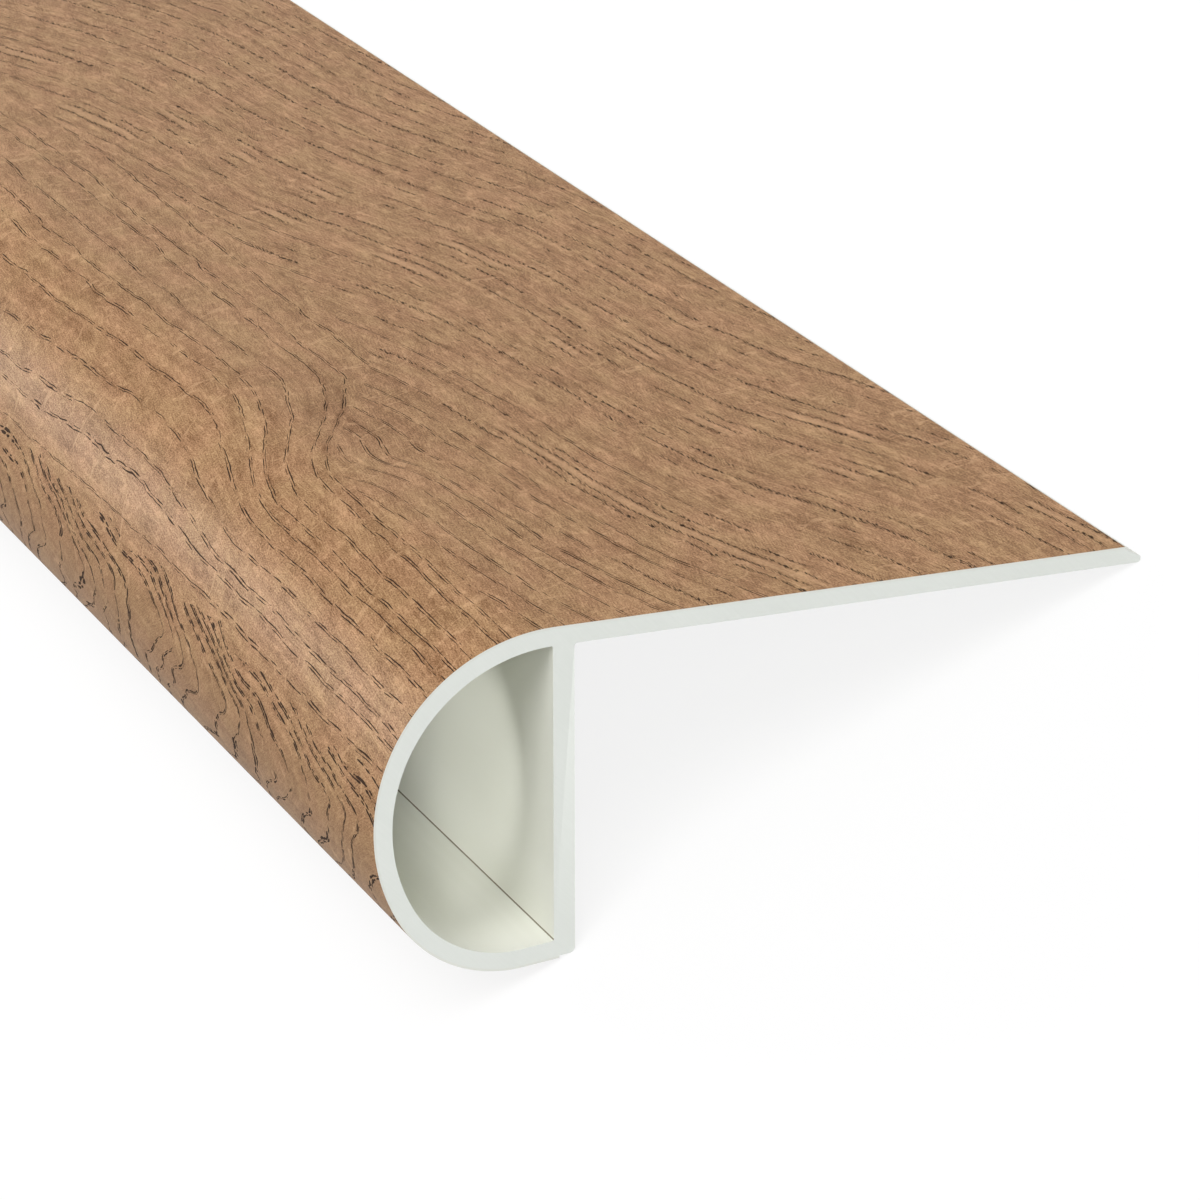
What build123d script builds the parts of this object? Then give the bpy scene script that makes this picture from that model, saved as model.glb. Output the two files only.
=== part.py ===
from build123d import *

import os
from math import asin, atan2, cos, degrees, hypot, radians, sin, tan

# Low profile stair nosing, in millimetres.
#
# An extruded rigid vinyl profile, with a wood-look film wrapped over its deck and round its nose.
# The section is drawn as it is fitted on a step: the top of the deck is level at height 0, and the
# back of the web, which stands against the step, is at 0 across, with the nose on the minus side.
# The stock is then turned to the way it lies loose on a floor, wood side up: on the foot of its web
# and on the rear lip of its deck. It runs along Y.

# Stock length, as sold: seven and a half feet
STOCK_LENGTH = 2286.0

# Deck, the thin plate that is glued down over the tread
DECK_REACH = 52.2  # from the back of the web to the rear lip
DECK_AT_WEB = 1.45  # thickness where it leaves the web
DECK_AT_REAR = 1.35  # thickness that it tapers to at the rear lip
BEVEL_RUN = 1.5  # width of the bevel on top of the rear lip
BEVEL_DROP = 0.8  # height of that bevel
REAR_LIP_RADIUS = 0.25  # lower edge of the rear lip

# Web, the upright wall that stands against the step
WEB_THICKNESS = 1.9
WEB_FOOT_RADIUS = 0.5
TREAD_CORNER_RADIUS = 0.3  # inside corner that the step's edge fits into

# Nose, a hollow D in front of the web: a wide arc over its front, a tighter one below, a straight underside
BROW_RADIUS = 15.9
BROW_AHEAD = 1.7  # from the back of the web forward to the centre of the brow
BROW_SWEEP = 120.0  # degrees, from the top of the deck round to where the chin takes over
CHIN_RADIUS = 11.2
UNDERSIDE_RISE = 5.5  # degrees that the straight underside climbs towards the web
NOSE_WALL = 1.45
HOLLOW_CORNER_RADIUS = 0.2

# Film, wrapped from the bevel over the deck and round the nose
FILM_THICKNESS = 0.2
FILM_STOPS_AHEAD = 1.4  # bare strip under the nose, from the film's edge to the back of the web

CHIN_START = 90 + BROW_SWEEP
CHIN_SWEEP = 270 + UNDERSIDE_RISE - CHIN_START
BROW_CENTRE = (-BROW_AHEAD, -BROW_RADIUS)
CHIN_CENTRE = (
    BROW_CENTRE[0] + (BROW_RADIUS - CHIN_RADIUS) * cos(radians(CHIN_START)),
    BROW_CENTRE[1] + (BROW_RADIUS - CHIN_RADIUS) * sin(radians(CHIN_START)),
)


def nose_lines(inset, end_across):
    """The brow, the chin and the underside, set in from the profile's face, that end at a distance across."""
    brow = CenterArc(BROW_CENTRE, BROW_RADIUS - inset, 90, BROW_SWEEP)
    chin = CenterArc(CHIN_CENTRE, CHIN_RADIUS - inset, CHIN_START, CHIN_SWEEP)
    chin_end = chin @ 1
    end_up = chin_end.Y + (end_across - chin_end.X) * tan(radians(UNDERSIDE_RISE))
    return [brow, chin, Line(chin_end, (end_across, end_up))]


def nose_region(inset):
    """The D inside those lines, closed down the back of the web."""
    lines = nose_lines(inset, 0)
    top = (0, -inset)
    outline = [Line(top, lines[0] @ 0), *lines, Line(lines[-1] @ 1, top)]
    return make_face(outline)


def deck_region():
    """The deck's tapered plate, with the bevel along its rear lip."""
    outline = Polyline(
        (0, 0),
        (0, -DECK_AT_WEB),
        (DECK_REACH, -DECK_AT_REAR),
        (DECK_REACH, -BEVEL_DROP),
        (DECK_REACH - BEVEL_RUN, 0),
        close=True,
    )
    return make_face(outline)


def web_region():
    """A strip as thick as the web, taller than the nose, with its back at 0 across."""
    height = 4 * BROW_RADIUS
    return Pos(-WEB_THICKNESS / 2, 0) * Rectangle(WEB_THICKNESS, height)


def rounded(region, corner, radius):
    """The region with a fillet on the vertex that lies nearest to a corner."""
    vertex = region.vertices().sort_by_distance((*corner, 0))[0]
    return fillet(vertex, radius)


def hollow_region():
    """The chamber inside the nose, in front of the web."""
    hollow = nose_region(NOSE_WALL) - web_region()
    at_web = hollow.vertices().sort_by(Axis.X)[-2:]
    return fillet(at_web, HOLLOW_CORNER_RADIUS)


def profile_section():
    """The extrusion's section: deck, web and hollow nose in one."""
    outside = nose_region(0) + deck_region()
    outside = rounded(outside, (0, -2 * BROW_RADIUS), WEB_FOOT_RADIUS)
    outside = rounded(outside, (0, -DECK_AT_WEB), TREAD_CORNER_RADIUS)
    outside = rounded(outside, (DECK_REACH, -DECK_AT_REAR), REAR_LIP_RADIUS)
    return outside - hollow_region()


def film_section():
    """The film's section: an even strip on the face, from the bevel to the bare strip under the nose."""
    inner = nose_lines(0, -FILM_STOPS_AHEAD)
    rear = (DECK_REACH - BEVEL_RUN, 0)
    path = Wire([Line(rear, inner[0] @ 0), *inner])
    return make_face(path.offset_2d(FILM_THICKNESS, side=Side.RIGHT, closed=True))


def resting_tilt():
    """Degrees between the level deck and a floor that touches the web's foot and the rear lip."""
    foot_across = -WEB_FOOT_RADIUS
    under_foot = nose_lines(0, foot_across)[-1] @ 1
    foot_up = under_foot.Y + WEB_FOOT_RADIUS / cos(radians(UNDERSIDE_RISE))
    lip_across = DECK_REACH - REAR_LIP_RADIUS
    lip_up = -DECK_AT_REAR + REAR_LIP_RADIUS
    run, rise = lip_across - foot_across, lip_up - foot_up
    lean = asin((WEB_FOOT_RADIUS - REAR_LIP_RADIUS) / hypot(run, rise))
    return degrees(atan2(rise, run) + lean)


def extruded(section):
    """A length of stock with this section, its middle at 0 along Y, turned to the way it lies loose."""
    stock = extrude(Plane.XZ * section, STOCK_LENGTH / 2, both=True)
    return Rot(Y=resting_tilt()) * stock


def build():
    """The pieces by name, standing on the floor at height 0, with the middle of their box over the origin."""
    pieces = {"profile": extruded(profile_section()), "decor_film": extruded(film_section())}
    box = Compound(list(pieces.values())).bounding_box()
    to_origin = Pos(-box.center().X, -box.center().Y, -box.min.Z)
    return {name: to_origin * piece for name, piece in pieces.items()}


os.makedirs("parts", exist_ok=True)
for name, piece in build().items():
    export_step(piece, f"parts/{name}.step")
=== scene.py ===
from math import asin, atan2, ceil, cos, degrees, hypot, pi, radians, sin, sqrt, tan

import bpy
import numpy as np
from mathutils import Matrix, Vector
from mathutils.geometry import tessellate_polygon


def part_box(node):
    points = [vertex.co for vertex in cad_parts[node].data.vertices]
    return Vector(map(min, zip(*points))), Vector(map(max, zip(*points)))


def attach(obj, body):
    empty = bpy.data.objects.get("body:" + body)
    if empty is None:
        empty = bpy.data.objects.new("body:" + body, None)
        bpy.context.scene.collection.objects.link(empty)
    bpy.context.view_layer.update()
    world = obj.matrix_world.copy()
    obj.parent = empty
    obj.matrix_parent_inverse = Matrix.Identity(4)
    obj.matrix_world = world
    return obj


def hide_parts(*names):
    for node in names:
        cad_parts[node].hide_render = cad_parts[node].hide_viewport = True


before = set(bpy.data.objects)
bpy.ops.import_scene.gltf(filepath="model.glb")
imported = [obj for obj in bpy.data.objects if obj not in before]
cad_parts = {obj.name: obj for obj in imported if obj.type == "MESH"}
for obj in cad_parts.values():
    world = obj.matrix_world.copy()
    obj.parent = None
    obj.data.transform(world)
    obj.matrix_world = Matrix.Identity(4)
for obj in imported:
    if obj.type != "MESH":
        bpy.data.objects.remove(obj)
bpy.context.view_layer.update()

# A length of stair nosing: a pale vinyl extrusion with a wood-look film over its deck and nose.
# Its section is drawn in millimetres as it is fitted on a step, with the top of the extrusion's deck
# at height 0 and the back of its web at 0 across, and is then laid down as the solids lie.

MM = 0.001

# Section of the extrusion, with the sizes of the solids
DECK_REACH = 52.2  # from the back of the web to the rear lip
DECK_AT_WEB = 1.45  # thickness where it leaves the web
DECK_AT_REAR = 1.35  # thickness at the rear lip
BEVEL_RUN = 1.5  # width of the bevel on top of the rear lip
BEVEL_DROP = 0.8
REAR_LIP_RADIUS = 0.25
WEB_THICKNESS = 1.9
WEB_FOOT_RADIUS = 0.5
TREAD_CORNER_RADIUS = 0.3
BROW_RADIUS = 15.9
BROW_AHEAD = 1.7  # from the back of the web forward to the centre of the brow
BROW_SWEEP = 120.0  # degrees
CHIN_RADIUS = 11.2
UNDERSIDE_RISE = 5.5  # degrees that the straight underside climbs towards the web
NOSE_WALL = 1.45
HOLLOW_CORNER_RADIUS = 0.2

# Film
FILM_THICKNESS = 0.2
FILM_STOPS_AHEAD = 1.4  # from the film's edge under the nose to the back of the web

STOCK_LENGTH = (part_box("profile")[1].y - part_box("profile")[0].y) / MM
ARC_STEP = 2.0  # degrees between the points of an arc
SHARPEST_SMOOTH = radians(25)  # a wider turn between faces stays a crisp edge

CHIN_START = 90 + BROW_SWEEP
CHIN_END = 270 + UNDERSIDE_RISE
BROW_CENTRE = np.array((-BROW_AHEAD, -BROW_RADIUS))
CHIN_CENTRE = BROW_CENTRE + (BROW_RADIUS - CHIN_RADIUS) * np.array(
    (cos(radians(CHIN_START)), sin(radians(CHIN_START)))
)


def arc(centre, radius, start, end):
    """Points along an arc, both ends included, with angles in degrees."""
    count = max(2, ceil(abs(end - start) / ARC_STEP) + 1)
    turn = np.radians(np.linspace(start, end, count))
    return np.column_stack((centre[0] + radius * np.cos(turn), centre[1] + radius * np.sin(turn)))


def underside(lift, across):
    """A point of the nose's straight underside, at a height over the extrusion's face."""
    chin_end = arc(CHIN_CENTRE, CHIN_RADIUS + lift, CHIN_END, CHIN_END)[0]
    return np.array((across, chin_end[1] + (across - chin_end[0]) * tan(radians(UNDERSIDE_RISE))))


def nose(lift):
    """The nose's brow and chin, at a height over the extrusion's face."""
    brow = arc(BROW_CENTRE, BROW_RADIUS + lift, 90, CHIN_START)
    return np.vstack((brow[:-1], arc(CHIN_CENTRE, CHIN_RADIUS + lift, CHIN_START, CHIN_END)))


def foot_centre(lift, wall, radius):
    """Centre of the rounding between the underside and an upright wall behind it."""
    return underside(lift, wall - radius) + (0, radius / cos(radians(UNDERSIDE_RISE)))


FOOT_CENTRE = foot_centre(0, 0, WEB_FOOT_RADIUS)
DECK_TAPER = (DECK_AT_WEB - DECK_AT_REAR) / DECK_REACH
DECK_TURN = degrees(atan2(DECK_TAPER, 1))


def deck_bottom(across, radius):
    """A point at a distance over the deck's underside, or under it where the distance is negative."""
    return np.array((across, DECK_TAPER * across - DECK_AT_WEB + radius * hypot(1, DECK_TAPER)))


LIP_CENTRE = deck_bottom(DECK_REACH - REAR_LIP_RADIUS, REAR_LIP_RADIUS)
TREAD_CENTRE = deck_bottom(TREAD_CORNER_RADIUS, -TREAD_CORNER_RADIUS)


def outer_loop():
    """The extrusion's outline, from the bevel over the deck, round the nose and back under the deck."""
    return np.vstack(
        (
            (DECK_REACH - BEVEL_RUN, 0),
            nose(0),
            arc(FOOT_CENTRE, WEB_FOOT_RADIUS, CHIN_END, 360),
            arc(TREAD_CENTRE, TREAD_CORNER_RADIUS, 180, 90 + DECK_TURN),
            arc(LIP_CENTRE, REAR_LIP_RADIUS, DECK_TURN - 90, 0),
            (DECK_REACH, -BEVEL_DROP),
        )
    )


def hollow_loop():
    """The chamber's outline, from the web's front over the ceiling and round to the foot of the web."""
    radius, reach = HOLLOW_CORNER_RADIUS, BROW_RADIUS - NOSE_WALL
    across = -WEB_THICKNESS - radius
    rise = sqrt((reach - radius) ** 2 - (across - BROW_CENTRE[0]) ** 2)
    ceiling_end = degrees(atan2(rise, across - BROW_CENTRE[0]))
    return np.vstack(
        (
            arc((across, BROW_CENTRE[1] + rise), radius, 0, ceiling_end)[:-1],
            arc(BROW_CENTRE, reach, ceiling_end, CHIN_START)[:-1],
            arc(CHIN_CENTRE, CHIN_RADIUS - NOSE_WALL, CHIN_START, CHIN_END),
            arc(foot_centre(-NOSE_WALL, -WEB_THICKNESS, radius), radius, CHIN_END, 360),
        )
    )


def film_line(lift):
    """The film's line from the bevel to its edge under the nose, at a height over the extrusion's face."""
    return np.vstack(((DECK_REACH - BEVEL_RUN, lift), nose(lift), underside(lift, -FILM_STOPS_AHEAD)))


def resting_tilt():
    """Angle between the level deck and a floor that touches the web's foot and the rear lip."""
    run, rise = LIP_CENTRE - FOOT_CENTRE
    return atan2(rise, run) + asin((WEB_FOOT_RADIUS - REAR_LIP_RADIUS) / hypot(run, rise))


TILT = resting_tilt()
LAY_DOWN = Matrix.Rotation(TILT, 4, "Y")


def turned(points):
    """Section points turned to the way the stock lies."""
    across, up = np.asarray(points, float).T
    return np.column_stack((across * cos(TILT) + up * sin(TILT), up * cos(TILT) - across * sin(TILT)))


OUTER, HOLLOW = outer_loop(), hollow_loop()
FILM_FACE, FILM_BACK = film_line(FILM_THICKNESS), film_line(0)
lying = turned(np.vstack((OUTER, FILM_FACE)))
TO_ORIGIN = np.array((-(lying[:, 0].min() + lying[:, 0].max()) / 2, -lying[:, 1].min()))


def laid(points):
    """Section points in the row frame: X and Z in metres."""
    return (turned(points) + TO_ORIGIN) * MM


def stations(count):
    """Places along the stock, in metres, that cut it into equal lengths."""
    return np.linspace(-STOCK_LENGTH / 2, STOCK_LENGTH / 2, count + 1) * MM


def swept(points, places):
    """Vertices of section points repeated at each place along Y, place by place."""
    section = laid(points)
    return [(x, y, z) for y in places for x, z in section]


def make_piece(name, vertices, faces, slots, materials):
    """A mesh piece with crisp edges, that stands for the CAD node of the same kind."""
    mesh = bpy.data.meshes.new(name)
    mesh.from_pydata(vertices, [], faces)
    for material in materials:
        mesh.materials.append(material)
    mesh.polygons.foreach_set("material_index", slots)
    mesh.shade_smooth()
    mesh.set_sharp_from_angle(angle=SHARPEST_SMOOTH)
    mesh.validate()
    piece = bpy.data.objects.new(name, mesh)
    bpy.context.scene.collection.objects.link(piece)
    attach(piece, "root")
    return piece


class Value:
    """A number that varies over a surface. Arithmetic on it adds nodes to its graph."""

    def __init__(self, graph, socket):
        self.graph = graph
        self.socket = socket

    def __add__(self, other):
        return self.graph.math("ADD", self, other)

    def __sub__(self, other):
        return self.graph.math("SUBTRACT", self, other)

    def __rsub__(self, other):
        return self.graph.math("SUBTRACT", other, self)

    def __mul__(self, other):
        return self.graph.math("MULTIPLY", self, other)

    def __truediv__(self, other):
        return self.graph.math("DIVIDE", self, other)

    def __rtruediv__(self, other):
        return self.graph.math("DIVIDE", other, self)

    def __gt__(self, other):
        return self.graph.math("GREATER_THAN", self, other)

    def __lt__(self, other):
        return self.graph.math("LESS_THAN", self, other)

    def __abs__(self):
        return self.graph.math("ABSOLUTE", self)

    __radd__ = __add__
    __rmul__ = __mul__


def mixed(first, second, amount):
    """The first value where the amount is 0, the second where it is 1."""
    return first + (second - first) * amount


LUCK_SEED = 0.5  # picks the set of numbers that a Graph's lucks come from


class Graph:
    """The nodes of one material, with a Principled shader at the end."""

    def __init__(self, name):
        self.material = bpy.data.materials.new(name)
        self.material.use_nodes = True
        self.tree = self.material.node_tree
        self.shader = self.tree.nodes["Principled BSDF"]

    def node(self, kind, **settings):
        """A new node of a kind, with its settings."""
        made = self.tree.nodes.new(kind)
        for key, value in settings.items():
            setattr(made, key, value)
        return made

    def feed(self, socket, value):
        """Puts a Value, a colour or a plain number on a socket."""
        if isinstance(value, Value):
            self.tree.links.new(value.socket, socket)
        else:
            socket.default_value = value

    def math(self, operation, *values):
        """The result of one operation on Values and numbers."""
        made = self.node("ShaderNodeMath", operation=operation)
        for socket, value in zip(made.inputs, values):
            self.feed(socket, value)
        return Value(self, made.outputs[0])

    def place(self, x, y):
        """A place on a plane, as a vector."""
        made = self.node("ShaderNodeCombineXYZ")
        self.feed(made.inputs["X"], x)
        self.feed(made.inputs["Y"], y)
        return Value(self, made.outputs[0])

    def parts(self, vector):
        """The three numbers of a vector."""
        made = self.node("ShaderNodeSeparateXYZ")
        self.feed(made.inputs[0], vector)
        return [Value(self, socket) for socket in made.outputs]

    def attribute(self, name):
        """A vector that the mesh carries."""
        made = self.node("ShaderNodeAttribute", attribute_name=name)
        return Value(self, made.outputs["Vector"])

    def object_place(self):
        """The place on the piece, in metres."""
        made = self.node("ShaderNodeTexCoord")
        return Value(self, made.outputs["Object"])

    def noise(self, x, y, detail=2.0, roughness=0.5):
        """Cloudy noise from 0 to 1, about 0.5, with one lump to each unit of x and y."""
        made = self.node("ShaderNodeTexNoise", noise_dimensions="2D")
        self.feed(made.inputs["Vector"], self.place(x, y))
        self.feed(made.inputs["Scale"], 1.0)
        self.feed(made.inputs["Detail"], detail)
        self.feed(made.inputs["Roughness"], roughness)
        return Value(self, made.outputs["Fac"])

    def lumps(self, across, along, size, detail=2.0, roughness=0.5):
        """That noise, with lumps of a width across and a length along."""
        width, length = size
        return self.noise(across / width, along / length, detail, roughness)

    def waver(self, across, along, size, reach, detail):
        """Noise about 0 that spans a reach, with lumps of a width across and a length along."""
        return (self.lumps(across, along, size, detail) - 0.5) * reach

    def lucks(self, number):
        """Three numbers from 0 to 1 that are fixed for each whole number."""
        made = self.node("ShaderNodeTexWhiteNoise", noise_dimensions="2D")
        self.feed(made.inputs["Vector"], self.place(number, LUCK_SEED))
        split = self.node("ShaderNodeSeparateColor")
        self.tree.links.new(made.outputs["Color"], split.inputs[0])
        return [Value(self, socket) for socket in split.outputs]

    def rise(self, value, low, high):
        """0 below low, 1 above high, smooth between."""
        made = self.node("ShaderNodeMapRange", interpolation_type="SMOOTHSTEP")
        self.feed(made.inputs["Value"], value)
        self.feed(made.inputs["From Min"], low)
        self.feed(made.inputs["From Max"], high)
        return Value(self, made.outputs["Result"])

    def fall(self, value, low, high):
        """1 below low, 0 above high, smooth between."""
        return 1.0 - self.rise(value, low, high)

    def hump(self, value, middle, width):
        """A bell of height 1 about a middle."""
        off = (value - middle) / width
        return self.math("EXPONENT", off * off * -1.0)

    def blend(self, amount, colour, other):
        """The first colour where the amount is 0, the other where it is 1."""
        made = self.node("ShaderNodeMix", data_type="RGBA")
        self.feed(made.inputs["Factor"], amount)
        self.feed(made.inputs[6], colour)
        self.feed(made.inputs[7], other)
        return Value(self, made.outputs[2])

    def bump(self, height, distance, strength):
        """Relief on the surface, as deep as the distance in metres."""
        made = self.node("ShaderNodeBump")
        self.feed(made.inputs["Height"], height)
        self.feed(made.inputs["Distance"], distance)
        self.feed(made.inputs["Strength"], strength)
        self.tree.links.new(made.outputs["Normal"], self.shader.inputs["Normal"])

    def surface(self, **values):
        """Sets the shader's sockets, with _ for a space in their names."""
        for key, value in values.items():
            self.feed(self.shader.inputs[key.replace("_", " ")], value)
        return self.material


def srgb(red, green, blue):
    """Linear colour of a screen colour given from 0 to 255."""
    def linear(level):
        level /= 255
        return level / 12.92 if level <= 0.04045 else ((level + 0.055) / 1.055) ** 2.4

    return (linear(red), linear(green), linear(blue), 1.0)


# Print on the film, in millimetres on the unrolled film: across from the bevel, along from the near end.
# The size of a lump is its width across and its length along, and a shift moves a noise to another stretch.
GRAIN = "grain"  # mesh attribute with those places
FIGURE_REPEAT = 381.0  # length after which the bend and the fan on the deck come again

# Rows of pores, which mark the growth rings
ROW_SPACING = 2.4  # between the rows of the deck's rear
FRONT_SPACING = 1.9  # between those of the deck's front and the brow
ARCH_SPACING = 4.6  # between those of the lower nose
REAR_LEAN = 0.18  # drift across of the rear rows, for each length along
KINK_REPEAT = 101.0  # length after which the rear rows straighten again
KINK_SKEW = 1.42  # how far along that place moves for each length across
KINK_START = 100.0
KINK_REACH = 1.4  # how far across the rear rows swing with that
FRONT_FROM = 55.0  # where across the front rows begin
FRONT_WIDER = 16.0  # how much nearer to the rear they begin past the bend
FRONT_WIDENS, FRONT_NARROWS = (41.0, 84.0), (110.0, 330.0)  # stretches along each figure
BOW = 2.2  # how far the rear rows bow towards the nose at the bend
BOW_ALONG, BOW_LENGTH = 47.0, 5.0
BOW_COMES = (42.0, 51.0)  # stretch across that the bow grows over
FAN_AXIS = 71.0  # line on the nose that the fan's rows spread from
FAN_SPREAD = 0.8
FAN_OPENS, FAN_CLOSES = (43.0, 74.0), (150.0, 330.0)  # stretches along each figure
ARCH_FROM, ARCH_AXIS, ARCH_TO = 73.0, 78.7, 88.0  # where across the arches begin, turn and end
ARCH_ROUND = 2.5  # how round an arch is at its turn
ARCH_STEEP, ARCH_GENTLE = 4.2, 1.5  # slopes of its two limbs, towards the deck and towards the chin
ARCH_DRIFT, ARCH_DRIFT_LUMP = 6.0, (60.0, 30.0)  # how far the arches' turns stray from their line
ARCH_ZIGZAG = 2.6
ARCH_FRAY = 5.0  # how many times the wobble moves the arches' upper edge
WANDER, WANDER_LUMP, WANDER_SHIFT = 6.0, (45.0, 130.0), 166.5  # slow bends of the deck's rows
WOBBLE, WOBBLE_LUMP = 1.0, (4.0, 9.0)  # small bends of every row


def rear_rows(graph, across, along, local):
    """Rows of the deck's rear: they lean, straighten now and then, and bow at the bend."""
    turn = (along + across * KINK_SKEW - KINK_START) * (2 * pi / KINK_REPEAT)
    bow = graph.hump(local, BOW_ALONG, BOW_LENGTH) * graph.rise(across, *BOW_COMES) * BOW
    return across - along * REAR_LEAN + graph.math("SINE", turn) * KINK_REACH - bow


def front_rows(graph, across, local):
    """Rows of the deck's front and the brow, with a stretch where they fan out, and their spread."""
    fan = 1.0 + (graph.rise(local, *FAN_OPENS) - graph.rise(local, *FAN_CLOSES)) * FAN_SPREAD
    behind = graph.math("MAXIMUM", FAN_AXIS - across, 0.0)
    scale = ROW_SPACING / FRONT_SPACING
    return (across + behind - behind / fan) * scale, scale / fan


def arch_rows(graph, across, along):
    """Rows of the lower nose, arched like a horseshoe, and their spread."""
    off = across - ARCH_AXIS + graph.waver(across, along, ARCH_DRIFT_LUMP, ARCH_DRIFT, detail=0.0)
    reach = graph.math("SQRT", off * off + ARCH_ROUND**2)
    steep = mixed(ARCH_GENTLE, ARCH_STEEP, off < 0.0)
    slope = steep * off / reach
    scale = ROW_SPACING / ARCH_SPACING
    zigzag = graph.waver(across, along, WOBBLE_LUMP, ARCH_ZIGZAG, detail=0.0)
    rows = (along - (reach - ARCH_ROUND) * steep) * scale + zigzag
    return rows, graph.math("SQRT", slope * slope + 1.0) * scale


def row_field(graph, across, along, local):
    """Distance over the rows, its spread, which is how fast it grows, and 1 where the rows arch.

    The distance is in millimetres of the rear rows, so a row is as wide as their spacing everywhere.
    """
    wider = graph.rise(local, *FRONT_WIDENS) - graph.rise(local, *FRONT_NARROWS)
    in_front = across > FRONT_FROM - wider * FRONT_WIDER
    rear = rear_rows(graph, across, along, local)
    front, front_spread = front_rows(graph, across, local)
    wander = graph.waver(across + WANDER_SHIFT, along, WANDER_LUMP, WANDER, detail=1.0)
    field = mixed(rear, front, in_front) + wander
    spread = mixed(1.0, front_spread, in_front)

    arch, arch_spread = arch_rows(graph, across, along)
    wobble = graph.waver(across, along, WOBBLE_LUMP, WOBBLE, detail=3.0)
    arched = (across + wobble * ARCH_FRAY > ARCH_FROM) * (across < ARCH_TO)
    return mixed(field, arch, arched) + wobble, mixed(spread, arch_spread, arched), arched


# Pores: dots in loose bands at the rear, and pairs of strokes in the chains of the front and in the arches
CHAINS_COME = (24.0, 48.0)  # stretch across in which the chains take over from the bands
VEINED_SHARE = 0.05  # of the rear rows, whose band parts round a pale vein
ROW_JITTER = 0.45  # share of the spacing that the rows' places vary over
DOT_SIZE = (0.1, 1.0)
DOT_LEAN = 0.05  # drift across of the dots, for each length along
STROKE_LENGTH = 2.6
ARCH_STROKES = 1.7  # strokes of the arches, for each one of the chains
BAND_HALF, BAND_HALF_MORE = 0.09, 0.18  # half width of a band, and what it gains in the strongest row
CHAIN_HALF, ARCH_HALF = 0.06, 0.12  # half widths of a stroke
PAIR_HALF, PARTED_HALF = 0.13, 0.75  # half distances between the strokes of a pair and round a vein
PATCH_LENGTH = 6.0  # of the patches that ink comes in along a row
VEIN_LENGTH = 16.0
VEIN_EDGE = (0.2, 0.65)  # stretch off the row's middle that a vein fades over
STROKE_APART, PATCH_APART, VEIN_APART = 7.7, 5.3, 3.7  # steps in a noise from row to row
SIDE_APART = 2.3  # step in the strokes' noise to either side of a row

# How the noise turns into ink
PATCH_WEIGHT, STRENGTH_WEIGHT = 0.9, 0.2
PAIRED_MORE = 0.28  # more of a row is inked where its strokes are paired
VEIN_LEVEL = 0.54  # noise level that a vein shows from
INKED_FROM = (-0.04, 0.05)  # levels that a patch of ink fades in over
CHAIN_MORE = 0.06  # fuller strokes in the chains
INK_FADE = 0.2  # how fast the ink breaks up off the middle of a band or stroke
TICK_FROM = (0.47, 0.53)  # noise levels that a dot or stroke fades in over


def print_pores(graph, across, along, ring, spread, arched):
    """Ink of the pores, and that of the pale veins that some of the rear bands part round."""
    row = graph.math("FLOOR", ring)
    shift, strength, kind = graph.lucks(row)
    chained = graph.rise(across, *CHAINS_COME) > kind
    paired = graph.math("MAXIMUM", chained, arched)
    veined = (kind > 1.0 - VEINED_SHARE) * (1.0 - chained) * (1.0 - arched)
    jitter = (shift - 0.5) * (1.0 - veined) * ROW_JITTER
    off = (ring - row - 0.5 + jitter) * ROW_SPACING / spread

    side = (off > 0.0) * 2.0 - 1.0
    limb = (across > ARCH_AXIS) * 2.0 - 1.0
    run = mixed(along, (across + along * limb) * ARCH_STROKES, arched)
    dots = graph.lumps(across + along * DOT_LEAN, along, DOT_SIZE, detail=0.0)
    strokes = graph.noise(row * STROKE_APART + side * SIDE_APART, run / STROKE_LENGTH)
    ticks = mixed(dots, strokes, paired)
    half = mixed(BAND_HALF + strength * BAND_HALF_MORE, CHAIN_HALF, chained)
    half = mixed(half, ARCH_HALF, arched)
    outside = abs(abs(off) - veined * PARTED_HALF - paired * PAIR_HALF) / half

    patch = graph.noise(row * PATCH_APART, along / PATCH_LENGTH, detail=3.0)
    stretch = graph.noise(row * VEIN_APART, along / VEIN_LENGTH, detail=0.0)
    share = (patch - 0.5) * PATCH_WEIGHT + (strength - 0.5) * STRENGTH_WEIGHT + paired * PAIRED_MORE
    inked = graph.rise(mixed(share, stretch - VEIN_LEVEL, veined), *INKED_FROM)
    pore = graph.rise(ticks + chained * CHAIN_MORE - outside * outside * INK_FADE, *TICK_FROM) * inked
    vein = graph.fall(abs(off), *VEIN_EDGE) * veined * inked
    return pore, vein


# Tone of the wood between the pores
MOTTLE_LUMP = (1.7, 6.5)
STREAKS_PER_ROW, STREAK_LENGTH = 2.6, 25.0
FIBRES_PER_ROW, FIBRE_LENGTH = 17.0, 4.0
HAIR_SIZE, NOSE_HAIR_SIZE = (0.12, 2.2), (0.15, 1.8)
HAIR_LEAN, NOSE_HAIR_LEAN = -0.15, 0.65  # drift across of the fine hairs on the deck and low on the nose
HAIR_SWAY, SWAY_LUMP = 1.8, (9.0, 13.0)
HAIR_EDGE = (0.3, 0.7)
SPECK_SIZE = (0.11, 0.3)
FLECK_SIZE, FLECK_FROM = (0.7, 1.6), (0.56, 0.72)
NOSE_HAIR_COMES = (71.0, 76.0)  # stretch across in which the nose's hairs take over
REAR_ENDS = (30.0, 55.0)  # stretch across in which the rear's fibres fade out
# Where the painted shade on the brow lies
BROW_SHADE_ACROSS, BROW_SHADE_WIDTH = 62.0, 6.0
BEND_ALONG, BEND_LENGTH = 62.0, 13.0
BEND_ACROSS, BEND_WIDTH = 47.0, 6.0

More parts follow.
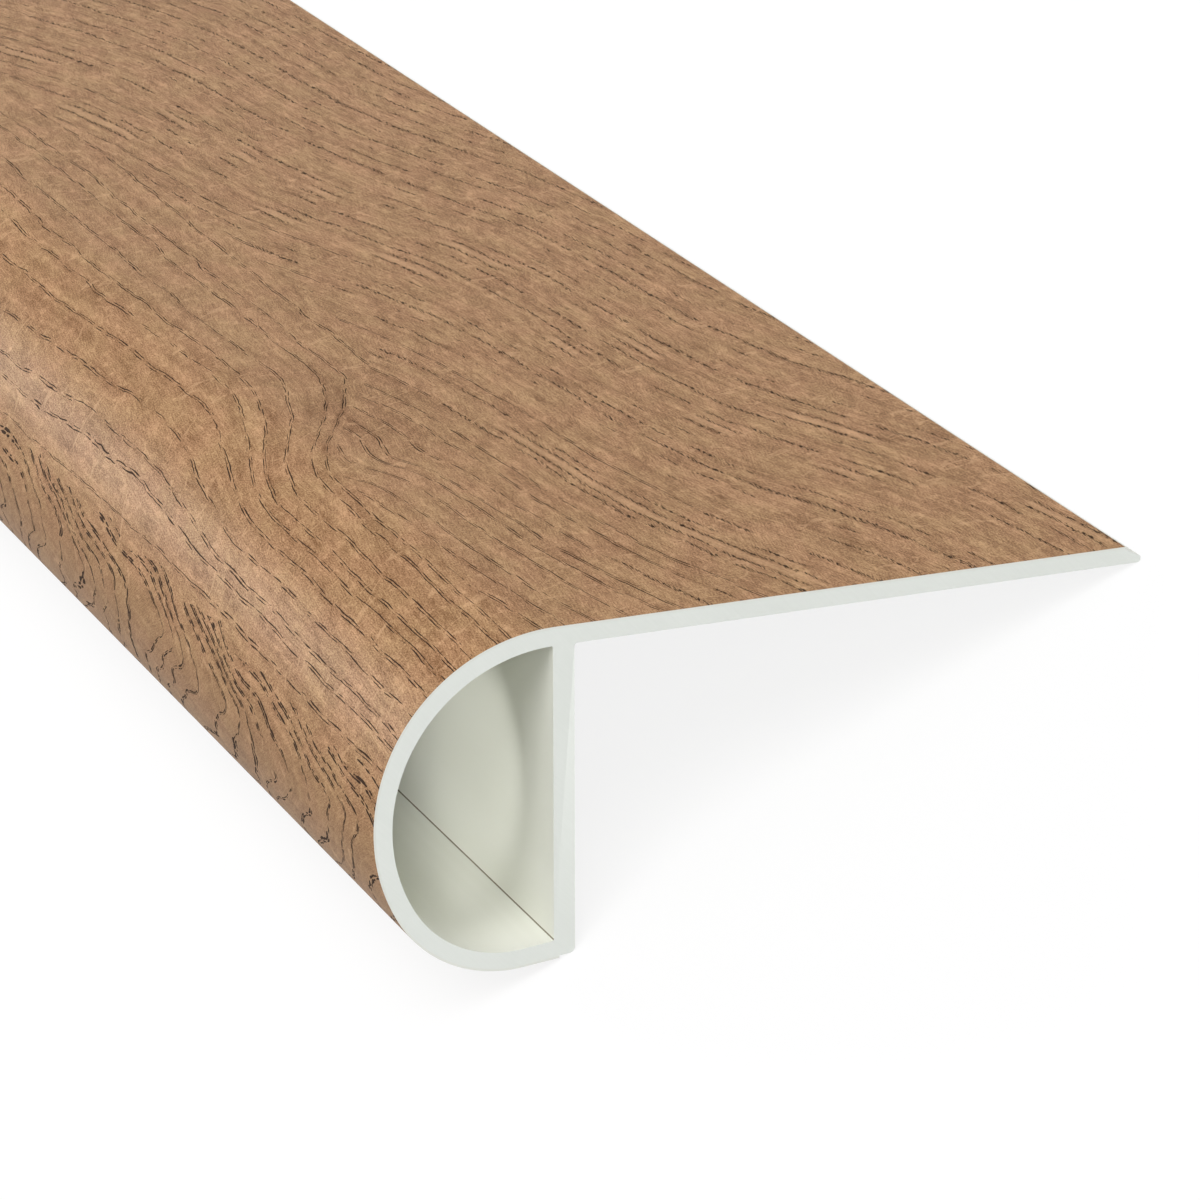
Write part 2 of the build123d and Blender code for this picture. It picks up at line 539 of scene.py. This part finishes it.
# What each thing adds to the tone, which goes from 0 for the dark wood to 1 for the light
TONE_MIDDLE = 0.48
MOTTLE_WEIGHT, STREAK_WEIGHT = 0.8, 0.5
HAIR_WEIGHT, STREAKED_HAIR_WEIGHT = 0.08, 0.3
FIBRE_WEIGHT, SPECK_WEIGHT, FLECK_WEIGHT = 0.8, 0.85, 0.2
# The brow's share is painted shade, which tempers the lamps' highlight there
REAR_DARKER, BROW_PAINTED_SHADE, BEND_DARKER = 0.04, 0.06, 0.15


def print_hairs(graph, slant, nose_slant, across, along):
    """Fine oblique hairs, from 0 to 1, which lean one way on the deck and the other low on the nose."""
    deck_hair = graph.lumps(slant, along, HAIR_SIZE, detail=1.0)
    nose_hair = graph.lumps(nose_slant, along, NOSE_HAIR_SIZE, detail=1.0)
    low_nose = graph.rise(across, *NOSE_HAIR_COMES)
    return graph.rise(mixed(deck_hair, nose_hair, low_nose), *HAIR_EDGE)


def print_tone(graph, across, along, local, ring):
    """Shade of the wood: mottling and streaks, with hairs, fibres, specks and pale flecks over them.

    It is a little darker at the rear and in the bend, and it carries painted shade on the brow that tempers
    the lamps' highlight there.
    """
    sway = graph.lumps(across, along, SWAY_LUMP, detail=1.0) * HAIR_SWAY
    slant = across - along * HAIR_LEAN + sway
    nose_slant = across - along * NOSE_HAIR_LEAN + sway
    mottle = graph.lumps(slant, along, MOTTLE_LUMP, detail=4.0, roughness=0.6)
    streak = graph.noise(ring * STREAKS_PER_ROW, along / STREAK_LENGTH)
    hair = print_hairs(graph, slant, nose_slant, across, along)
    fibre = graph.noise(ring * FIBRES_PER_ROW, along / FIBRE_LENGTH, detail=1.0)
    speck = graph.lumps(across, along, SPECK_SIZE, detail=0.0)
    fleck = graph.rise(graph.lumps(across, along, FLECK_SIZE, detail=1.0), *FLECK_FROM)

    rear = graph.fall(across, *REAR_ENDS)
    # Painted shade on the brow, which tempers the lamps' highlight there
    brow = graph.hump(across, BROW_SHADE_ACROSS, BROW_SHADE_WIDTH)
    bend = graph.hump(local, BEND_ALONG, BEND_LENGTH) * graph.hump(across, BEND_ACROSS, BEND_WIDTH)
    broad = TONE_MIDDLE + (mottle - 0.5) * MOTTLE_WEIGHT + (streak - 0.5) * STREAK_WEIGHT
    fine = (hair - 0.5) * (streak * STREAKED_HAIR_WEIGHT + HAIR_WEIGHT)
    fine = fine + (fibre - 0.5) * rear * FIBRE_WEIGHT + (speck - 0.5) * SPECK_WEIGHT + fleck * FLECK_WEIGHT
    darker = rear * REAR_DARKER + brow * BROW_PAINTED_SHADE + bend * BEND_DARKER
    return broad + fine - darker


# Wisps
WISP_LUMP, WISP_SHIFT = (7.0, 2.4), 14.0
WISP_SKEW = 0.35  # how far back along a wisp moves for each length across
WISP_THIN = 0.03  # noise either side of its middle level that a wisp fades over
WISP_PATCH, WISP_PATCH_SHIFT = (3.0, 2.5), 100.0  # patches that have wisps
WISP_FROM = (0.54, 0.62)


def print_wisps(graph, across, along):
    """Thin pale flecks that cross the rows here and there."""
    line = graph.lumps(across + WISP_SHIFT, along + across * WISP_SKEW, WISP_LUMP, detail=1.0)
    here = graph.lumps(across, along + WISP_PATCH_SHIFT, WISP_PATCH, detail=1.0)
    return graph.fall(abs(line - 0.5), 0.0, WISP_THIN) * graph.rise(here, *WISP_FROM)


# Inks of the print, and how strongly each one covers
DARK_WOOD = srgb(115, 79, 49)
LIGHT_WOOD, YELLOWER_WOOD = srgb(194, 152, 114), srgb(190, 153, 112)
NOSE_BROWN = srgb(140, 104, 66)
PALE_INK = srgb(206, 166, 126)
PORE_INK = srgb(42, 28, 21)
NOSE_BROWN_COVER, VEIN_COVER, WISP_COVER, PORE_COVER = 0.35, 0.3, 0.4, 0.95
NOSE_BROWN_COMES = (74.0, 80.0)  # stretch across in which the lower nose turns browner
YELLOW_LUMP, YELLOW_SHIFT, YELLOW_FROM = (4.0, 7.0), 20.0, (0.3, 0.7)
EMBOSS_LUMP = (0.25, 1.5)
EMBOSS_DEPTH = 0.03 * MM


def wood_film():
    """Satin film printed as open-pored oak, with a fine emboss of its own."""
    graph = Graph("wood_film")
    across, along, _ = graph.parts(graph.attribute(GRAIN))
    local = graph.math("MODULO", along, FIGURE_REPEAT)
    field, spread, arched = row_field(graph, across, along, local)
    ring = field / ROW_SPACING
    pore, vein = print_pores(graph, across, along, ring, spread, arched)
    tone = print_tone(graph, across, along, local, ring)
    wisp = print_wisps(graph, across, along)

    yellow = graph.rise(graph.lumps(across + YELLOW_SHIFT, along, YELLOW_LUMP), *YELLOW_FROM)
    colour = graph.blend(tone, DARK_WOOD, graph.blend(yellow, LIGHT_WOOD, YELLOWER_WOOD))
    colour = graph.blend(graph.rise(across, *NOSE_BROWN_COMES) * NOSE_BROWN_COVER, colour, NOSE_BROWN)
    colour = graph.blend(vein * VEIN_COVER, colour, PALE_INK)
    colour = graph.blend(wisp * WISP_COVER, colour, PALE_INK)
    colour = graph.blend(pore * PORE_COVER, colour, PORE_INK)
    graph.bump(graph.lumps(across, along, EMBOSS_LUMP, detail=1.0), EMBOSS_DEPTH, strength=0.3)
    return graph.surface(Base_Color=colour, Roughness=0.45 + pore * 0.25, Specular_IOR_Level=0.04)


# Vinyl and the film's base, with the sizes of marks and clouds in metres
SAW_LEAN = radians(16.26)  # of the saw's marks from upright
SAW_MARK, SAW_DEPTH = (0.22 * MM, 6 * MM), 0.01 * MM
SAWN_CLOUD = (8 * MM, 8 * MM)
DIE_LINE, DIE_DEPTH = (0.7 * MM, 300 * MM), 0.02 * MM
DIE_SKEW = 0.7  # share of the height, so that upright walls have lines as well
EXTRUDED_CLOUD = (12 * MM, 30 * MM)
# Clouds of the painted shade along the chamber's lower rear corner
CORNER_SHADE_CLOUD = (4 * MM, 10 * MM)
BASE_CLOUD = (3 * MM, 20 * MM)


def vinyl_sawn():
    """The extrusion where the saw cut it: fine marks across the face."""
    graph = Graph("vinyl_sawn")
    x, _, z = graph.parts(graph.object_place())
    over = x * cos(SAW_LEAN) + z * sin(SAW_LEAN)
    up = z * cos(SAW_LEAN) - x * sin(SAW_LEAN)
    marks = graph.lumps(over, up, SAW_MARK)
    cloud = graph.lumps(x, z, SAWN_CLOUD)
    graph.bump(marks, SAW_DEPTH, strength=0.25)
    return graph.surface(
        Base_Color=graph.blend(marks * 0.5 + cloud * 0.5, srgb(217, 221, 215), srgb(225, 228, 223)),
        Roughness=0.5 + marks * 0.15,
        Specular_IOR_Level=0.25,
    )


def vinyl_extruded():
    """The extrusion's own faces, with the faint lengthwise lines that the die leaves."""
    graph = Graph("vinyl_extruded")
    x, y, z = graph.parts(graph.object_place())
    lines = graph.lumps(x - z * DIE_SKEW, y, DIE_LINE)
    cloud = graph.lumps(x + z, y, EXTRUDED_CLOUD)
    graph.bump(lines, DIE_DEPTH, strength=0.2)
    return graph.surface(
        Base_Color=graph.blend(lines * 0.5 + cloud * 0.5, srgb(224, 225, 214), srgb(232, 233, 224)),
        Roughness=0.38 + cloud * 0.15,
        Specular_IOR_Level=0.3,
    )


def clouded(name, cloud_size, dark, light, roughness, specular):
    """A plain material that is a little cloudy in its colour and gloss."""
    graph = Graph(name)
    x, y, z = graph.parts(graph.object_place())
    cloud = graph.lumps(x + z, y, cloud_size)
    return graph.surface(
        Base_Color=graph.blend(cloud, dark, light),
        Roughness=roughness + cloud * 0.1,
        Specular_IOR_Level=specular,
    )


def vinyl_corner_painted_shade():
    """Painted shade: a thin dark line along the chamber's lower rear corner, where shade gathers in the
    rounding.
    """
    dark, light = srgb(112, 104, 90), srgb(140, 131, 114)
    return clouded("vinyl_corner_painted_shade", CORNER_SHADE_CLOUD, dark, light, roughness=0.55, specular=0.2)


def film_edge():
    """The film's cut edge and back, which show its pale base."""
    dark, light = srgb(214, 216, 208), srgb(222, 224, 217)
    return clouded("film_edge", BASE_CLOUD, dark, light, roughness=0.5, specular=0.25)


# Bake maps. The film's is measured in millimetres of film, and the profile's in shares of the map
MAP_NAME = "OFBake"
FILM_STRIPS = 5  # lengths that the film's face is cut into
FILM_MAP_SIZE = 560.0
STRIP_GAP = 2.0
BACK_SHARE = 0.35  # how far the film's hidden back is squeezed
EDGE_BAND = 8.0  # height that a thin edge is stretched to
LONG_EDGE_BAND, END_BAND = 1, 5  # first bands over the strips for the long edges and for the ends
LEAST_FACE = 0.3  # least width of a long face of the profile, in millimetres
SIDES_HEIGHT = 0.7  # of the profile's long faces
END_MIDDLES = (0.25, 0.75)  # of the near and the far sawn end
END_GAP = 0.05
END_SCALE = 6.5  # size of a sawn end, for each metre

# Faces that carry the painted corner shade
CORNER_SHADE_FACES = 20  # of the chamber's lower rear rounding, that show as a dark line


def facing(corners, outward):
    """A face's corners, in the order given or, where that isn't outward, the other way round."""
    return corners if outward else corners[::-1]


def walls(count, rows, first, outward):
    """Faces of a swept line of points, as rows of quads."""
    faces = []
    for row in range(rows):
        for column in range(count - 1):
            a = first + row * count + column
            faces.append(facing((a, a + 1, a + 1 + count, a + count), outward))
    return faces


def bake_map(piece, spot):
    """A UV map for baking, from a function of a face's number and a vertex's number."""
    mesh = piece.data
    layer = mesh.uv_layers.new(name=MAP_NAME)
    for face in mesh.polygons:
        for corner in face.loop_indices:
            layer.data[corner].uv = spot(face.index, mesh.loops[corner].vertex_index)


def map_film(film, across, face_count, edge_start):
    """Lays the film's face out as strips side by side, with its back and edges squeezed in round them.

    Each edge fills a band over the strips and leaves the next one clear.
    """
    count = len(across)
    strip, width = STOCK_LENGTH / FILM_STRIPS, across[-1] + STRIP_GAP
    layer_size = count * (FILM_STRIPS + 1)

    def spot(face, vertex):
        layer, place = divmod(vertex, layer_size)
        row, column = divmod(place, count)
        edge = face - edge_start
        if face < face_count:
            first = face // (count - 1)
            x, y = first * width + across[column], (row - first) * strip
        elif edge < 0:
            x, y = FILM_STRIPS * width + across[column] * BACK_SHARE, row * strip / FILM_STRIPS
        elif edge < 2 * FILM_STRIPS:
            band = LONG_EDGE_BAND + layer + (column > 0) * 2
            x, y = row * strip / FILM_STRIPS, strip + EDGE_BAND * band
        else:
            band = END_BAND + layer + (row > 0) * 2
            x, y = across[column], strip + EDGE_BAND * band
        return x / FILM_MAP_SIZE, y / FILM_MAP_SIZE

    bake_map(film, spot)


def make_film():
    """The printed film: a face, a back and the edges between them."""
    places = stations(FILM_STRIPS)
    count = len(FILM_FACE)
    back = count * len(places)
    vertices = swept(FILM_FACE, places) + swept(FILM_BACK, places)
    face_quads = walls(count, FILM_STRIPS, 0, False)
    faces = face_quads + walls(count, FILM_STRIPS, back, True)
    for row in range(FILM_STRIPS):
        for column, outward in ((0, True), (count - 1, False)):
            a = row * count + column
            faces.append(facing((a, a + count, a + count + back, a + back), outward))
    for row, outward in ((0, False), (FILM_STRIPS, True)):
        for column in range(count - 1):
            a = row * count + column
            faces.append(facing((a, a + 1, a + 1 + back, a + back), outward))
    printed, plain = range(2)
    slots = [printed] * len(face_quads) + [plain] * (len(faces) - len(face_quads))
    film = make_piece("wood_look_film", vertices, faces, slots, (wood_film(), film_edge()))

    steps = np.hypot(*np.diff(FILM_FACE, axis=0).T)
    across = np.concatenate(((0,), np.cumsum(steps)))
    along = (places - places[0]) / MM
    grain = np.array([(u, v, 0) for _ in range(2) for v in along for u in across], np.float32)
    film.data.attributes.new(GRAIN, "FLOAT_VECTOR", "POINT").data.foreach_set("vector", grain.ravel())
    map_film(film, across, len(face_quads), 2 * len(face_quads))
    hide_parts("decor_film")


def map_profile(profile, sides):
    """Lays the profile's long faces out side by side, squeezed along, with its two sawn ends over them."""
    counts = [len(OUTER), len(HOLLOW)]
    widths = []
    for loop in (OUTER, HOLLOW):
        steps = np.roll(loop, -1, axis=0) - loop
        widths += [max(LEAST_FACE, hypot(*step)) for step in steps]
    starts = np.concatenate(((0,), np.cumsum(widths)))
    vertices = profile.data.vertices
    inner = 2 * counts[0]

    def spot(face, vertex):
        x, y, z = vertices[vertex].co
        far = y > 0
        if face >= sides:
            return END_MIDDLES[far] + x * END_SCALE, SIDES_HEIGHT + END_GAP + z * END_SCALE
        hollow = vertex >= inner
        column = (vertex - inner * hollow) % counts[hollow] + counts[0] * hollow
        return starts[face + (column != face)] / starts[-1], SIDES_HEIGHT * far

    bake_map(profile, spot)


def make_profile():
    """The extrusion: its outside, the chamber in its nose and the two sawn ends."""
    places = stations(1)
    vertices, faces, near, far = [], [], [], []
    for loop, outward in ((OUTER, False), (HOLLOW, True)):
        start, count = len(vertices), len(loop)
        vertices += swept(loop, places)
        near += range(start, start + count)
        far += range(start + count, start + 2 * count)
        for column in range(count):
            a, b = start + column, start + (column + 1) % count
            faces.append(facing((a, b, b + count, a + count), outward))
    sides = len(faces)
    flat = [[Vector((x, z, 0)) for x, z in laid(loop)] for loop in (OUTER, HOLLOW)]
    for a, b, c in tessellate_polygon(flat):
        faces.append((near[a], near[b], near[c]))
        faces.append((far[c], far[b], far[a]))
    extruded, sawn, corner = range(3)
    slots = [extruded] * sides + [sawn] * (len(faces) - sides)
    # The last faces of the chamber's lower rear rounding carry a painted shade line
    web_front = sides - 1
    for face in range(web_front - CORNER_SHADE_FACES, web_front):
        slots[face] = corner
    materials = (vinyl_extruded(), vinyl_sawn(), vinyl_corner_painted_shade())
    profile = make_piece("vinyl_profile", vertices, faces, slots, materials)
    map_profile(profile, sides)
    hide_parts("profile")


make_profile()
make_film()

# Stage: a white floor that shows white to the camera and keeps a soft shadow
FLOOR_SIZE = 60.0
FLOOR_WHITE = 0.85  # share of plain white in the floor that is seen
FLOOR_TONE = 0.9  # of the rest of it, which takes the shadow
FLOOR_BOUNCE = 0.5  # of the floor that throws light back on the part


def seen_rays(tree):
    """1 for rays of the camera, and for those that reflect or pass light on to it."""
    nodes, links = tree.nodes, tree.links
    path = nodes.new("ShaderNodeLightPath")
    seen = path.outputs["Is Camera Ray"]
    for ray in ("Is Glossy Ray", "Is Transmission Ray"):
        either = nodes.new("ShaderNodeMath")
        either.operation = "MAXIMUM"
        links.new(seen, either.inputs[0])
        links.new(path.outputs[ray], either.inputs[1])
        seen = either.outputs[0]
    return seen


def floor_white():
    """Plain white mixed with a matte white, so that a shadow shows softly."""
    material = bpy.data.materials.new("floor")
    material.use_nodes = True
    tree = material.node_tree
    tree.nodes.clear()
    diffuse = tree.nodes.new("ShaderNodeBsdfDiffuse")
    glow = tree.nodes.new("ShaderNodeEmission")
    mix = tree.nodes.new("ShaderNodeMixShader")
    out = tree.nodes.new("ShaderNodeOutputMaterial")
    seen = seen_rays(tree)
    tone = tree.nodes.new("ShaderNodeMapRange")
    tone.inputs["To Min"].default_value = FLOOR_BOUNCE
    tone.inputs["To Max"].default_value = FLOOR_TONE
    tree.links.new(seen, tone.inputs["Value"])
    tree.links.new(tone.outputs["Result"], diffuse.inputs["Color"])
    share = tree.nodes.new("ShaderNodeMath")
    share.operation = "MULTIPLY"
    share.inputs[1].default_value = FLOOR_WHITE
    tree.links.new(seen, share.inputs[0])
    tree.links.new(share.outputs[0], mix.inputs[0])
    tree.links.new(diffuse.outputs[0], mix.inputs[1])
    tree.links.new(glow.outputs[0], mix.inputs[2])
    tree.links.new(mix.outputs[0], out.inputs["Surface"])
    return material


def make_floor():
    """A wide level square under the part."""
    half = FLOOR_SIZE / 2
    corners = [(-half, -half, 0), (half, -half, 0), (half, half, 0), (-half, half, 0)]
    mesh = bpy.data.meshes.new("floor")
    mesh.from_pydata(corners, [], [(0, 1, 2, 3)])
    mesh.materials.append(floor_white())
    floor = bpy.data.objects.new("floor", mesh)
    bpy.context.scene.collection.objects.link(floor)


make_floor()


def looking(right, aim):
    """Turn of a camera or lamp that looks along its aim, with its right side to the right."""
    return Matrix((right, right.cross(aim), -aim)).transposed().to_4x4()


def placed(across, along, up, turn):
    """Matrix of a camera or lamp, placed by the fitted stock's section and near end, then laid down."""
    (x, z), = laid([(across, up)])
    place = Vector((x, (along - STOCK_LENGTH / 2) * MM, z))
    return Matrix.Translation(place) @ LAY_DOWN @ turn


# Light
WORLD_LIGHT = 0.4  # strength of the white world, which shows full white to the camera

# Lamp inside the mouth of the chamber, in millimetres on the fitted section
HOLLOW_LAMP_ACROSS, HOLLOW_LAMP_UP = -8.5, -15.0
HOLLOW_LAMP_IN = 4.5  # from the near end
HOLLOW_LAMP_WIDTH, HOLLOW_LAMP_HEIGHT = 10.0, 22.0
HOLLOW_LAMP_AIM = Vector((0.33, 0.92, -0.2))
HOLLOW_LAMP_SPREAD = radians(25)
HOLLOW_LAMP_POWER = 0.00066


def make_world():
    """An even white world that lights the part softly."""
    world = bpy.data.worlds.new("studio")
    bpy.context.scene.world = world
    world.use_nodes = True
    tree = world.node_tree
    background = tree.nodes["Background"]
    background.inputs["Color"].default_value = (1, 1, 1, 1)
    seen = seen_rays(tree)
    level = tree.nodes.new("ShaderNodeMapRange")
    level.inputs["To Min"].default_value = WORLD_LIGHT
    level.inputs["To Max"].default_value = 1.0
    tree.links.new(seen, level.inputs["Value"])
    tree.links.new(level.outputs["Result"], background.inputs["Strength"])


def make_hollow_lamp():
    """A soft lamp just inside the mouth of the chamber, that shines in along the camera's line."""
    data = bpy.data.lights.new("hollow", "AREA")
    data.shape = "ELLIPSE"
    data.size = HOLLOW_LAMP_WIDTH * MM
    data.size_y = HOLLOW_LAMP_HEIGHT * MM
    data.energy = HOLLOW_LAMP_POWER
    data.spread = HOLLOW_LAMP_SPREAD
    lamp = bpy.data.objects.new("hollow", data)
    aim = HOLLOW_LAMP_AIM.normalized()
    right = aim.cross(Vector((0, 0, 1))).normalized()
    lamp.matrix_world = placed(HOLLOW_LAMP_ACROSS, HOLLOW_LAMP_IN, HOLLOW_LAMP_UP, looking(right, aim))
    bpy.context.scene.collection.objects.link(lamp)


def make_sun(name, towards, strength, angle):
    """A soft distant lamp. Its direction, from the stock towards it, is given as the stock is fitted."""
    data = bpy.data.lights.new(name, "SUN")
    data.energy = strength
    data.angle = radians(angle)
    lamp = bpy.data.objects.new(name, data)
    direction = LAY_DOWN.to_3x3() @ Vector(towards)
    lamp.rotation_mode = "QUATERNION"
    lamp.rotation_quaternion = direction.to_track_quat("Z", "Y")
    bpy.context.scene.collection.objects.link(lamp)


make_world()
make_hollow_lamp()
make_sun("front", towards=(-0.36, -0.87, 0.335), strength=0.7, angle=20)
make_sun("key", towards=(-0.5, -0.45, 0.74), strength=2.15, angle=40)
make_sun("shoulder", towards=(-0.464, 0.87, 0.16), strength=1.0, angle=18)

# Camera, as the photograph sees the fitted section: millimetres from the near end, the web's back and
# the film's top, with its aim turned to the right of the stock's run and down
CAMERA_PLACE = (-169.40, -414.63, 161.59)
CAMERA_YAW = radians(22.491)
CAMERA_PITCH = radians(19.600)
CAMERA_LENS = 174.06
SENSOR = 36.0
NEAREST_SEEN, FARTHEST_SEEN = 0.01, 200.0  # metres


def make_camera():
    """The photograph's camera, laid down with the stock."""
    data = bpy.data.cameras.new("camera")
    data.lens = CAMERA_LENS
    data.sensor_width = SENSOR
    data.clip_start = NEAREST_SEEN
    data.clip_end = FARTHEST_SEEN
    camera = bpy.data.objects.new("camera", data)
    right = Vector((cos(CAMERA_YAW), -sin(CAMERA_YAW), 0))
    level = Vector((sin(CAMERA_YAW), cos(CAMERA_YAW), 0))
    aim = level * cos(CAMERA_PITCH) - Vector((0, 0, sin(CAMERA_PITCH)))
    across, along, up = CAMERA_PLACE
    camera.matrix_world = placed(across, along, up + FILM_THICKNESS, looking(right, aim))
    bpy.context.scene.collection.objects.link(camera)
    bpy.context.scene.camera = camera


make_camera()
bpy.context.scene.view_settings.view_transform = "Standard"
